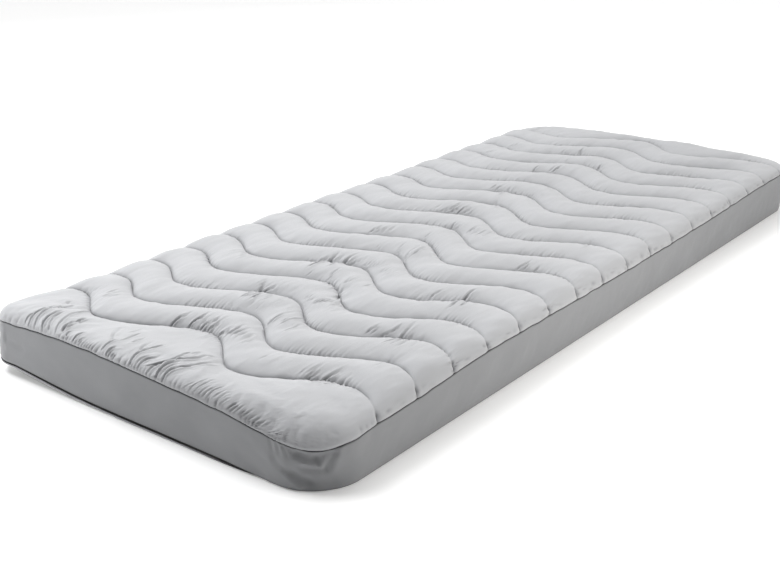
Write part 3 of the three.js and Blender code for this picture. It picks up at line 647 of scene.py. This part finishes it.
# Painted shade along the quilting lines, in the tucks at their ends, on the wall above the seam, in the gathers
# and in the creases, as shares of the darkest.
STITCH_SHADE, STITCH_SHADE_UNEVEN, STITCH_SHADE_LIMITS = 0.42, 0.2, (0.12, 0.7)
STITCH_HEAD_LOSS = 0.5
ROW_SHADE, ROW_SHADE_WIDTH, ROW_SHADE_REACH = 0.8, 2.0, 5
WALL_SHADE, WALL_SHADE_FOOT, WALL_SHADE_REACH = 0.12, 0.16, 5
NICK_SHADE, NICK_REACH = 0.6, 6
CREASE_SHADE, GATHER_SHADE, GATHER_SHADE_REACH, CREASE_SHADE_MOST = 0.12, 0.3, 12, 0.5
PUCKERS = (
    # from x, y to x, y; how far its middle bows to the left, half width, depth
    # first channel, left group
    (-251, -944, -269, -889, 6, 4.5, 2.6), (-204, -936, -216, -897, 3, 4.5, 2.4),
    (-212, -902, -216, -877, 0, 4, 2), (-287, -946, -297, -882, 8, 4, 1.4),
    (-296, -889, -283, -848, -8, 4, 1.5), (-272, -945, -292, -874, 8, 3.5, 1.1),
    (-292, -874, -286, -851, -4, 3.5, 1.1), (-235, -943, -263, -879, 6, 3.5, 1),
    (-218, -940, -252, -839, 8, 3.5, 1.1), (-198, -940, -204, -912, 3, 3.5, 1.2),
    (-186, -943, -189, -928, 2, 3.5, 1.2), (-299, -946, -298, -918, 5, 3.5, 1.1),
    (-315, -847, -282, -839, -3, 4, 1.1), (-246, -871, -252, -843, 0, 3.5, 0.9),
    # first channel, middle left
    (-164, -946, -162, -920, 3, 3.5, 1.3), (-151, -946, -149, -934, 2, 3, 1),
    (-102, -913, -140, -859, 4, 5, 0.9), (-94, -942, -92, -906, 3, 4, 1.2),
    (-77, -948, -77, -929, 2, 4, 2.2), (-64, -947, -65, -940, 1, 3.5, 1.8),
    (-84, -903, -89, -860, 0, 4, 0.8), (-65, -898, -68, -870, 0, 4, 0.8),
    (-102, -871, -110, -841, 0, 4, 0.8), (-19, -946, -23, -895, 7, 4, 1.7),
    (-23, -895, -18, -873, -2, 4, 1), (-32, -913, -43, -881, 2, 4, 0.7),
    (-7, -946, -4, -913, 5, 3.5, 1),
    # first channel, middle
    (0, -946, 8, -911, 5, 4, 1.3), (18, -934, 38, -869, -10, 4.5, 1.8),
    (38, -871, 52, -852, -2, 4, 1.2), (45, -947, 50, -908, 6, 5.5, 3.2),
    (44, -902, 65, -855, -7, 5, 1.5), (65, -855, 74, -846, 0, 4, 0.9),
    (60, -948, 68, -917, 4, 4.5, 1.8), (68, -917, 78, -894, -3, 5, 1.4),
    (81, -896, 91, -853, -3, 6, 0.8), (22, -946, 33, -918, 3, 4, 0.9),
    # first channel, right: short gathers
    (109, -947, 121, -934, 0, 2.7, 0.56), (121, -947, 133, -916, 0, 2.7, 0.7),
    (132, -947, 143, -916, 0, 2.7, 0.7), (142, -947, 151, -928, 0, 2.7, 0.63),
    (150, -947, 162, -923, 0, 2.7, 0.63), (159, -947, 170, -916, 0, 2.7, 0.77),
    (170, -947, 182, -923, 0, 2.7, 0.63), (180, -947, 189, -926, 0, 2.7, 0.7),
    (190, -947, 199, -934, 0, 2.7, 0.7), (206, -948, 217, -934, 0, 2.7, 1.12),
    (214, -948, 222, -937, 0, 2.3, 1.12), (222, -948, 230, -936, 0, 2.7, 1.26),
    (231, -948, 239, -939, 0, 2.3, 1.12), (239, -948, 247, -937, 0, 2.7, 1.26),
    (250, -948, 257, -940, 0, 2.3, 1.05), (260, -948, 266, -939, 0, 2.7, 1.26),
    (270, -948, 276, -940, 0, 2.3, 1.05), (279, -948, 286, -939, 0, 2.7, 1.12),
    (289, -948, 294, -942, 0, 2.3, 0.91),
    # round the near corner: short folds square to the seam
    (397, -876, 387, -874, 0, 2.6, 0.43), (389, -899, 376, -892, 1, 2.6, 0.36),
    (379, -914, 371, -907, 0, 2.6, 0.47), (366, -927, 357, -916, -1, 2.6, 0.32),
    (353, -936, 348, -928, 0, 2.6, 0.5), (339, -943, 334, -930, 1, 2.6, 0.43),
    (323, -947, 322, -937, 0, 2.6, 0.54), (311, -948, 310, -938, 0, 2.6, 0.47),
    # second channel
    (-93, -784, -83, -751, 3, 4.5, 2.4), (-62, -771, -44, -728, 6, 4, 2.2),
    (-47, -758, -30, -726, 1, 4, 1), (-39, -765, -18, -727, 3, 4, 1.6),
    (-24, -763, -9, -741, 2, 4, 1.5), (7, -765, 21, -752, 1, 5, 2.4), (19, -757, 73, -754, 5, 6, 2),
    (76, -774, 86, -758, 0, 5, 0.9), (18, -742, 57, -743, 2, 4.5, 1.3),
    (-62, -752, -56, -731, 1, 4, 0.8), (226, -796, 233, -775, 0, 3.5, 0.9),
    (235, -793, 241, -769, 0, 3.5, 0.9), (241, -797, 248, -778, 0, 3.5, 0.8),
    (245, -801, 259, -771, 2, 4, 1.3), (264, -810, 277, -762, 2, 4, 2),
    (276, -808, 275, -782, 0, 3.5, 1.1), (285, -805, 286, -769, 0, 3.5, 1.4),
    (301, -793, 300, -778, 0, 3.5, 0.8), (-341, -771, -311, -763, 0, 5, 0.8),
    (-286, -762, -264, -757, 0, 5, 1), (-274, -781, -253, -762, 0, 5, 0.8),
    (145, -802, 156, -785, 0, 4, 0.7), (165, -800, 177, -788, 0, 4, 0.7),
    # third channel
    (47, -681, 51, -631, 3, 4.5, 1.6), (65, -668, 70, -649, 0, 4, 1), (74, -673, 77, -630, 2, 4.5, 1.3),
    (102, -691, 100, -657, 0, 4.5, 1.1), (87, -658, 82, -625, 0, 4, 0.9),
    (-26, -627, -51, -649, 0, 4, 0.7), (-16, -644, -20, -631, 0, 4, 0.6),
    (-76, -662, -62, -648, 0, 4, 0.7), (313, -700, 311, -658, 0, 4, 0.6),
    # fourth channel
    (-67, -619, -94, -542, -5, 4.5, 2.3), (-61, -617, -90, -547, -4, 4, 2),
    (-79, -570, -81, -553, -3, 4, 1.1), (-44, -618, -76, -568, 0, 4.5, 2.3),
    (-71, -566, -52, -533, 2, 4, 1.5), (-25, -608, -50, -555, 0, 3.5, 0.9),
    (2, -603, -14, -542, 1, 4, 0.7), (30, -562, 45, -539, 0, 4, 1.3), (17, -550, 32, -539, 0, 4, 0.9),
    (52, -561, 83, -531, 2, 5, 1.4), (51, -552, 69, -527, 2, 4.5, 1), (91, -554, 86, -525, 0, 4, 1),
    (208, -601, 218, -570, 0, 4, 1.2), (217, -597, 225, -574, 0, 4, 1),
    (235, -594, 250, -554, -3, 4, 1.4), (267, -615, 263, -541, -2, 4, 1.7),
    (281, -618, 268, -561, 0, 4, 1.3), (295, -618, 279, -556, 0, 4, 1.2),
    (316, -618, 302, -558, 0, 4, 0.8),
    # fifth channel
    (23, -479, -21, -432, 3, 3.5, 1.2), (-9, -441, -19, -404, 4, 3.5, 1),
    (86, -536, 32, -444, 6, 4, 1.8), (32, -444, 28, -418, 2, 4, 1.1), (35, -440, 43, -417, 0, 3.5, 0.7),
    (-61, -451, -50, -432, 3, 4, 0.7), (72, -433, 83, -435, 0, 4, 1),
    (-221, -470, -267, -410, 0, 4, 0.7), (-265, -460, -258, -442, 0, 5, 0.8),
    # sixth channel
    (-77, -415, -85, -327, -3, 4.5, 2.3), (-96, -366, -72, -324, -2, 4, 1.4),
    (-83, -362, -73, -354, 0, 4.5, 2), (-45, -393, -50, -318, 3, 4.5, 2.3),
    (-55, -352, -41, -330, 0, 4, 0.8), (-38, -348, -16, -315, 0, 4, 1.3), (-8, -341, 14, -318, 0, 4, 1),
    (5, -347, 27, -324, 0, 4, 0.9), (42, -354, 61, -339, 0, 4.5, 0.8),
    (63, -364, 76, -346, 0, 4.5, 0.8), (200, -393, 208, -363, 0, 4, 1.2),
    (267, -420, 257, -335, 3, 4.5, 2.4), (257, -337, 264, -320, 0, 4, 1),
    (283, -412, 264, -363, 0, 4, 1.8),
    # seventh channel
    (40, -263, 30, -230, 4, 3.5, 1.4), (6, -242, -6, -200, 5, 3.5, 1.1),
    (44, -236, 36, -185, 0, 4, 1.2), (29, -227, 29, -203, 0, 4, 0.7), (-45, -243, -47, -236, 0, 4, 0.7),
    (-56, -235, -45, -217, 0, 4, 0.6),
    # eighth channel, then every other one towards the head
    (-127, -164, -113, -132, 0, 4.5, 1.4), (-115, -159, -101, -132, 0, 4, 0.9),
    (-102, -148, -84, -121, 0, 4, 0.8), (248, -164, 256, -127, -2, 4, 1.3),
    (260, -157, 261, -148, 0, 4, 1.3), (280, -155, 284, -141, 0, 4, 1.4),
    (-9, -124, -9, -108, 0, 4, 0.8), (2, -34, 14, -26, 0, 4, 0.8),
    # ninth
    (-6, -31, -8, -10, 2, 4, 1.4), (5, -34, 17, -19, 0, 4, 0.7), (45, -45, 53, -24, 0, 5, 1.5),
    (58, -52, 68, -30, 0, 4, 0.9), (76, -52, 78, -19, 0, 4, 0.8), (94, -53, 88, -12, 0, 4.5, 0.9),
    # tenth
    (-90, 55, -71, 94, -3, 5, 2), (-94, 55, -74, 92, 0, 4, 0.9), (-72, 65, -58, 86, 0, 4, 1),
    (-57, 66, -44, 99, 2, 4.5, 1.8), (-43, 74, -34, 94, 0, 4, 0.9), (-32, 71, -24, 87, 0, 4, 0.8),
    (-10, 80, -7, 89, 0, 4, 0.7), (-113, 58, -105, 76, 0, 4, 0.8), (302, 15, 288, 63, 0, 4, 1.2),
    # eleventh
    (2, 136, -30, 192, 2, 4.5, 1.4), (9, 179, 13, 188, 0, 4, 0.6),
    # twelfth
    (-42, 224, -58, 295, 2, 4.5, 1.9), (-83, 267, -76, 300, 2, 4.5, 1.1), (-96, 269, -93, 291, 0, 4, 1),
    (-35, 279, -22, 299, 0, 4, 0.7), (9, 281, 18, 292, 0, 4, 1), (32, 280, 36, 288, 0, 4, 0.9),
    # fourteenth
    (-98, 468, -101, 501, 2, 4.5, 1.4), (-54, 491, -45, 518, 2, 4.5, 1.6),
    (-64, 492, -60, 513, 0, 4, 0.8), (14, 491, 17, 496, 0, 4, 0.8),
    # fifteenth and on
    (26, 582, 20, 610, 3, 4, 1.6), (-69, 586, -76, 601, 2, 4.5, 1), (-83, 682, -95, 713, 2, 5, 1.8),
    (-130, 666, -129, 679, 0, 4, 0.9), (-282, 643, -252, 660, 3, 5, 1), (-295, 552, -272, 569, 0, 5, 1),
)


def edge_distance(x, y):
    """How far in from the outline a point lies: the nearest side's distance, or in a corner the
    radius less the distance from the corner's centre."""
    r, past_x, past_y, in_corner = corner_part(x, y)
    straight = np.minimum(WIDTH / 2 - np.abs(x), LENGTH / 2 - np.abs(y))
    return np.where(in_corner, r - np.hypot(past_x, past_y), straight)


def quilt_line(line, x):
    """A quilting line's place along the bed: half waves between the turns, moved by the pitch."""
    turns = np.array(TURNS, dtype=float)
    i = np.clip(np.searchsorted(turns[:, 0], x, side="right") - 1, 0, len(turns) - 2)
    rise = turns[:, 1] + turns[:, 2] * line
    part = (1 - np.cos(math.pi * (x - turns[i, 0]) / (turns[i + 1, 0] - turns[i, 0]))) / 2
    return -LENGTH / 2 + FIRST_LINE + line * PITCH + rise[i] + (rise[i + 1] - rise[i]) * part


def side_x(sign, y):
    """Where the outline's left or right side lies at a place along the bed."""
    r = corner_radius(sign + 0 * y, y)
    arc = np.clip(np.abs(y) - (LENGTH / 2 - r), 0, r)
    return sign * (WIDTH / 2 - r + np.sqrt(r * r - arc * arc))


def crease_depth(x, y, share, narrow):
    """Puckers: each is a narrow trough along a bowed line, with a low ridge and then a fainter
    trough on both sides. It is pinched and deepest near its start, where the stitching holds the
    cloth, then widens and fades out towards its end. share scales the depths, narrow the widths."""
    depth, share = np.zeros_like(x), share + 0 * x
    for xa, ya, xb, yb, bow, wide, deep in PUCKERS:
        run = np.array([xb - xa, yb - ya], dtype=float)
        long = math.hypot(*run)
        run /= long
        part = ((x - xa) * run[0] + (y - ya) * run[1]) / long
        off = -(x - xa) * run[1] + (y - ya) * run[0] - bow * 4 * part * (1 - part)
        near = (part > -PUCKER_LEAD) & (part < 1 + PUCKER_LEAD) & (np.abs(off) < 6 * wide)
        part, t = part[near], np.clip(part[near], 0, 1)
        s = np.abs(off[near]) / (narrow * wide * (PUCKER_PINCH + PUCKER_SPREAD * t))
        ends = np.clip((part + PUCKER_LEAD) / PUCKER_START, 0, 1)
        ends = ends * np.clip((1 + PUCKER_LEAD - part) / PUCKER_END, 0, 1)
        trough = np.exp(-s ** 1.6) - RIDGE * fade(s - RIDGE_AT, RIDGE_WIDTH)
        trough = trough + SECOND * fade(s - SECOND_AT, SECOND_WIDTH) * np.sin(math.pi * t) ** 0.5
        depth[near] += share[near] * deep * trough * ends * (1 - PUCKER_TAIL * t)
    return depth


def slackness(x, y):
    """Where spare cloth is gathered, from 0 to 1: a soft spot round each pucker."""
    total = np.zeros_like(x)
    for xa, ya, xb, yb, _, _, deep in PUCKERS:
        part = ((x - xa) * (xb - xa) + (y - ya) * (yb - ya)) / ((xb - xa) ** 2 + (yb - ya) ** 2)
        part = np.clip(part, 0, 1)
        away = np.hypot(x - xa - part * (xb - xa), y - ya - part * (yb - ya))
        total += SPARE_SHARE * deep * fade(away, SPARE_REACH)
    return np.clip(total, 0, 1)


def line_puckers(x, channel, part, gap):
    """Small gathers where a quilting line pulls the cloth: short waves along the line, different
    on every line, that fade out over about a centimetre to either side of it."""
    line = channel + np.round(part)
    wave = (np.sin(x * 2 * math.pi / 7.8 + 2.6 * line + 1.8 * np.sin(x / 37 + line))
            + 0.8 * np.sin(x * 2 * math.pi / 14.1 + 4.1 * line + 1.4 * np.sin(x / 61 + 2 * line)))
    patchy = np.clip(1.4 * np.sin(x / 47 + 1.9 * line) - 0.3, 0, 1)
    return wave * patchy * fade(np.minimum(part, 1 - part) * gap, LINE_PUCKER_REACH, 1.5)


def seam_gathers(along, away, width):
    """Fine gathers that the seam holds: sharp troughs an uneven centimetre apart along the edge,
    with soft rolls between them. Each takes up a width of the spacing, and they fade out over 5 to
    12 mm from the seam."""
    turn = along / 10.6 + 0.9 * np.sin(along / 23) + 0.7 * np.sin(along / 57 + 1) + 0.25 * np.sin(along / 9)
    trough = fade(np.sin(math.pi * turn), width) - 0.8 * width
    patchy = 0.25 + 0.75 * np.sin(along / 53 + 0.8 + np.sin(along / 19)) ** 2
    reach = 4.5 + 8 * np.sin(along / 37 + 2 * np.sin(along / 83)) ** 4
    return -trough * patchy * fade(away, reach, 1.5) * (0.3 + 0.7 * (1 - np.exp(-away / 1.5)))


def settle(points, held, slack, most):
    """The cloth's own settling: the grid is pinned along the quilting lines and the seam, given a
    little spare cloth where it is slack, and blown up softly from below, so that it buckles
    between its stitches. Returns how far each point moves, the most millimetres at most."""
    rows, columns = points.shape[:2]
    index = np.arange(rows * columns).reshape(rows, columns)
    cloth = add_piece("settling_cloth", points, grid_faces(index))
    pins = cloth.vertex_groups.new(name="stitched")
    pins.add(np.flatnonzero(held.ravel()).tolist(), 1.0, "REPLACE")
    taut = cloth.vertex_groups.new(name="taut")
    shares = np.round(10 * (1 - slack.ravel())).astype(int)
    for share in range(11):
        taut.add(np.flatnonzero(shares == share).tolist(), share / 10, "REPLACE")
    layer = cloth.modifiers.new("settle", "CLOTH")
    for key, value in FABRIC.items():
        setattr(layer.settings, key, value)
    layer.settings.effector_weights.gravity = 0.0
    layer.collision_settings.use_collision = False
    layer.collision_settings.use_self_collision = False
    layer.point_cache.frame_start = 1
    layer.point_cache.frame_end = SETTLE_FRAMES
    scene = bpy.context.scene
    for step in range(1, SETTLE_FRAMES + 1):
        scene.frame_set(step)
    settled = cloth.evaluated_get(bpy.context.evaluated_depsgraph_get()).data
    place = np.empty(rows * columns * 3, dtype=np.float32)
    settled.vertices.foreach_get("co", place)
    moved = place.reshape(points.shape).astype(float) / MM - points
    scene.frame_set(1)
    bpy.data.objects.remove(cloth)
    far = np.linalg.norm(moved, axis=-1, keepdims=True)
    return moved * np.minimum(1, most / np.maximum(far, 1e-9))


def grid_faces(index):
    """Quads between neighbouring points of a grid of point numbers."""
    corners = [index[:-1, :-1], index[:-1, 1:], index[1:, 1:], index[1:, :-1]]
    return np.stack(corners, axis=-1).reshape(-1, 4)


def run_along(points, axis):
    """How far each point lies along its own row or column of the grid."""
    steps = np.linalg.norm(np.diff(points, axis=axis), axis=-1)
    return np.insert(np.cumsum(steps, axis=axis), 0, 0.0, axis=axis)


# Rows run across the bed beside the quilting lines, columns along it. Both are closer together
# at the seam and at the lines, where the surface turns most.
crown = CROWN_WIDTH * (1 - np.cos(np.linspace(0, math.pi / 2, CROWN_STEPS + 1)))
inner_side = WIDTH / 2 - CROWN_WIDTH
middle = np.concatenate([np.arange(MIDDLE_STEP - inner_side, FINE_PART[0] - 0.5 * FINE_STEP, MIDDLE_STEP),
                         np.arange(FINE_PART[0], FINE_PART[1], FINE_STEP),
                         np.arange(FINE_PART[1], inner_side - MIDDLE_STEP / 2, MIDDLE_STEP)])
across = np.concatenate([crown - WIDTH / 2, middle, WIDTH / 2 - crown[::-1]]) / (WIDTH / 2)
flat_x = across * WIDTH / 2
lines = np.stack([quilt_line(k, flat_x) for k in range(LINES)])
eased = np.linspace(0, 1, CHANNEL_ROWS, endpoint=False)
eased = eased - CHANNEL_CROWDING * np.sin(2 * math.pi * eased) / (2 * math.pi)
end_part = 1 - (1 - np.linspace(0, 1, END_ROWS + 1)[1:]) ** END_CROWDING

foot = -LENGTH / 2 + crown[:, None] + 0 * flat_x
foot_in = foot[-1] + (lines[0] - foot[-1]) * end_part[:, None]
inner = (lines[:-1, None] + (lines[1:] - lines[:-1])[:, None] * eased[:, None]).reshape(-1, flat_x.size)
head_in = lines[-1] + (LENGTH / 2 - CROWN_WIDTH - lines[-1]) * (1 - end_part[::-1])[:, None]
head = LENGTH / 2 - crown[::-1, None] + 0 * flat_x
top_y = np.vstack([foot, foot_in[:-1], inner, head_in, head])
left, right = side_x(-1.0, top_y), side_x(1.0, top_y)
top_x = left + (right - left) * (across + 1) / 2

# Each row's channel, how far it lies across the channel, and how far from the nearest line.
foot_rows = foot.shape[0] + foot_in.shape[0] - 1
head_rows = head_in.shape[0] + head.shape[0]
foot_half, head_half = lines[0] + LENGTH / 2, LENGTH / 2 - lines[-1]
channel = np.concatenate([np.zeros(foot_rows), np.repeat(np.arange(1, LINES), CHANNEL_ROWS),
                          np.full(head_rows, LINES)])[:, None]
part = np.concatenate([np.zeros(foot_rows), np.tile(eased, LINES - 1), np.zeros(head_rows)])
part = part[:, None] + 0 * top_y
part[:foot_rows] = (1 + (top_y[:foot_rows] + LENGTH / 2) / foot_half) / 2
part[-head_rows:] = (top_y[-head_rows:] - lines[-1]) / head_half / 2
part = np.clip(part, 0, 1)
gap = np.where(channel == 0, 2 * foot_half, np.where(channel == LINES, 2 * head_half, PITCH))
to_line = np.minimum(np.where(channel == LINES, part, 1 - part), np.where(channel == 0, 1 - part, part)) * gap

# The filled surface: from the seam up over the rounded edge, puffed between the lines.
away = np.clip(edge_distance(top_x, top_y), 0, None)
from_left, from_right = np.clip(WIDTH / 2 + top_x, 0, None), np.clip(WIDTH / 2 - top_x, 0, None)
towards_head = np.clip((top_y - HEAD_FROM) / HEAD_OVER, 0, 1)
slant = np.gradient(top_y, axis=1) / np.gradient(top_x, axis=1)
squeeze = 1 / np.sqrt(1 + slant ** 2)
uneven = 1 + PUFF_UNEVEN * lumps(top_x, top_y, (90, 220), 14, seed=3)
swell = np.clip(np.sin(math.pi * part), 0, 1) ** PUFF_ROUNDNESS
right_reach = LEVEL_RIGHT_REACH + LEVEL_HEAD_REACH * towards_head
level = LEVEL_LEFT * fade(from_left, LEVEL_LEFT_REACH)
level = level + (LEVEL_RIGHT + LEVEL_HEAD * towards_head) * fade(from_right, right_reach)
level = level + LEVEL_WIDE * fade(from_right, LEVEL_WIDE_REACH)
puff = PUFF * (1 - SLANT_LOSS + SLANT_LOSS * squeeze) * uneven * (swell * (1 - level) + LEVEL_FILL * level)
near_edge = np.maximum(2 * np.abs(top_x) / WIDTH, 2 * np.abs(top_y) / LENGTH) ** 4
stitched = STITCH_HEIGHT + edge_curve(FILL, top_x, top_y) * near_edge
seam = seam_line(top_x, top_y)
crown_wide = edge_curve(CROWN, top_x, top_y)
crown_rise = (1 - (1 - np.clip(away / crown_wide, 0, 1)) ** CROWN_POWER) ** CROWN_BEND
on_top = crown_rise ** 0.5
faint = (1 - FAINT_RIGHT * fade(from_right, FAINT_REACH + FAINT_HEAD_REACH * towards_head)
         - FAINT_BEND * fade(from_right - FAINT_BEND_AT, FAINT_BEND_REACH))
groove = LINE_GROOVE * (1 - GROOVE_HEAD_LOSS * towards_head) * faint * fade(to_line, GROOVE_WIDTH, GROOVE_ROUND)
groove = groove * (1 + GROOVE_UNEVEN * lumps(top_x, top_y, (25, 80), 10, seed=5))
soft = SOFT_LUMPS * lumps(top_x, top_y, (28, 75), 26, seed=11, stretch=1.5)
soft = soft + FINE_LUMPS * lumps(top_x, top_y, (13, 26), 30, seed=12, stretch=2.2)
top_z = seam + (stitched + puff - seam) * crown_rise
top_z = top_z + on_top * (soft - GROOVE_SOFT * groove - crease_depth(top_x, top_y, PUCKER_DEPTH, PUCKER_WIDTH))
top_points = np.stack([top_x, top_y, top_z], axis=-1)

# Every second column settles, and the columns between them follow their neighbours.
columns = np.arange(flat_x.size)
loose = np.append(columns[:-1:2], columns[-1])
held = (to_line < STITCH_HELD) | (away < STITCH_HELD)
moved = settle(top_points[:, loose], held[:, loose], slackness(top_x, top_y)[:, loose], SETTLE_MOST)
beyond = np.clip(np.searchsorted(loose, columns, side="right"), 1, loose.size - 1)
share = ((columns - loose[beyond - 1]) / (loose[beyond] - loose[beyond - 1]))[None, :, None]
top_points = top_points + moved[:, beyond - 1] * (1 - share) + moved[:, beyond] * share

# Gathers, tucks and the sharp bottoms of the creases push the cloth in or out along its normals.
d_across, d_along = np.gradient(top_points, axis=1), np.gradient(top_points, axis=0)
normal = np.cross(d_across, d_along)
normal /= np.maximum(np.linalg.norm(normal, axis=-1, keepdims=True), 1e-9)
run, long_side = edge_run(top_x, top_y)
foot_right = np.where(top_y < 0, np.clip((top_x - FOOT_RIGHT_FROM) / FOOT_RIGHT_OVER, 0, 1), 0.0)
at_lines = 1 + GATHER_LINE * fade(to_line, GATHER_LINE_REACH)
pull = long_side * GATHER_SIDE * at_lines + (1 - long_side) * (GATHER_END + GATHER_FOOT * foot_right)
gather = seam_gathers(run, away, GATHER_WIDTH - GATHER_FOOT_NARROWER * foot_right) * pull
gather *= 1 - GATHER_CORNER_LOSS * np.sin(math.pi * np.clip(long_side, 0, 1))
gather *= 1 - fade(np.minimum(np.abs(top_x), np.abs(top_y)), MIDDLE_STILL)
row_end = fade(to_line, ROW_TUCK_WIDTH, 1.3) * fade(away - ROW_TUCK_AT, ROW_TUCK_REACH)
tuck = TUCK * (swell - TUCK_LEVEL) * np.sin(math.pi * np.clip(away / crown_wide, 0, 1)) - ROW_TUCK * row_end
sharp = crease_depth(top_x, top_y, SHARP_DEPTH * (1 + SHARP_FOOT * (channel == 0)), SHARP_WIDTH)
sharp = sharp + GROOVE_SHARP * groove - LINE_PUCKER * line_puckers(top_x, channel, part, gap)
top_points = top_points + normal * (gather + tuck * long_side - sharp * on_top)[..., None]

# The underside starts at the rim, slopes in over the mattress's shoulder and lies on its top.
grid = np.arange(top_x.size).reshape(top_x.shape)
rim = np.concatenate([grid[0, :-1], grid[:-1, -1], grid[-1, :0:-1], grid[:0:-1, 0]])
rim_x, rim_y, rim_z = top_points.reshape(-1, 3)[rim].T
_, past_x, past_y, in_corner = corner_part(rim_x, rim_y)
from_centre = np.maximum(np.hypot(past_x, past_y), 1e-6)
at_side = nearer_side(rim_x, rim_y)
rim_nx = np.sign(rim_x) * np.where(in_corner, past_x / from_centre, at_side)
rim_ny = np.sign(rim_y) * np.where(in_corner, past_y / from_centre, ~at_side)
under_inset = np.array(UNDER_INSET)[:, None]
slope = rim_z - RIM_THICK - RIM_SLOPE * (under_inset - RIM_DEEP)
under_height = np.vstack([rim_z - np.array(UNDER_DROP)[:, None],
                          np.maximum(slope[3:5], np.array(SHOULDER)[:, None] + 4 * GAP),
                          np.full((1, rim.size), MATTRESS_TOP + GAP)])
under = ring_points((rim_x, rim_y, rim_nx, rim_ny, None), under_inset, under_height)
under_rows, rim_count = under.shape[:2]
ring = np.arange(rim_count)
under_faces = ring_faces(under_rows, rim_count, False)[:, ::-1] + grid.size
rim_faces = np.stack([rim, grid.size + ring, grid.size + np.roll(ring, -1), np.roll(rim, -1)], axis=-1)
under_cap = grid.size + (under_rows - 1) * rim_count + ring[::-1]
all_points = np.vstack([top_points.reshape(-1, 3), under.reshape(-1, 3)])
all_faces = np.vstack([grid_faces(grid), rim_faces, under_faces])
quilted_top = add_piece("quilted_top_panel", all_points, all_faces, caps=[under_cap], smooth_under=75)
add_weave_map(quilted_top, np.concatenate([run_along(top_points, 1).ravel(), under[..., 0].ravel()]),
              np.concatenate([run_along(top_points, 0).ravel(), under[..., 1].ravel()]))

# Painted shade on the panel: its colour is darkened where shade falls. That is along the quilting lines, in the
# row-end tucks, on the wall above the seam, in the gathers' troughs and crease bottoms, and on its underside.
stitch_shade = STITCH_SHADE + STITCH_SHADE_UNEVEN * lumps(top_x, top_y, (50, 150), 12, seed=6)
stitch_shade = np.clip(stitch_shade, *STITCH_SHADE_LIMITS) * (1 - STITCH_HEAD_LOSS * towards_head)
row_shade = ROW_SHADE * long_side * fade(to_line, ROW_SHADE_WIDTH) * fade(away - ROW_TUCK_AT, ROW_SHADE_REACH)
wall_shade = (WALL_SHADE + WALL_SHADE_FOOT * foot_right) * (1 - long_side) * fade(away, WALL_SHADE_REACH)
nick_shade = NICK_SHADE * np.clip(-gather / pull, 0, 1) * fade(away, NICK_REACH)
crease_shade = CREASE_SHADE * sharp * on_top - GATHER_SHADE * gather * fade(away, GATHER_SHADE_REACH)
top_painted_shade = (stitch_shade * faint * fade(to_line, STITCH_SHADE_REACH) + row_shade + wall_shade + nick_shade
            + np.clip(crease_shade, 0, CREASE_SHADE_MOST))
rim_painted_shade = np.broadcast_to(np.array(UNDER_SHADE)[:, None], (under_rows, rim_count))
add_painted_shade_map(quilted_top, np.concatenate([np.clip(top_painted_shade, 0, 1).ravel(), rim_painted_shade.ravel()]))
quilted_top.data.materials.append(cloth_material("brushed_cloth", TOP_GREY, shade=0.03, thread=0.8, sheen=0.25,
                                                 patch=7.0, painted_shade=0.42))
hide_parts("quilted_top")
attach(quilted_top, "root")
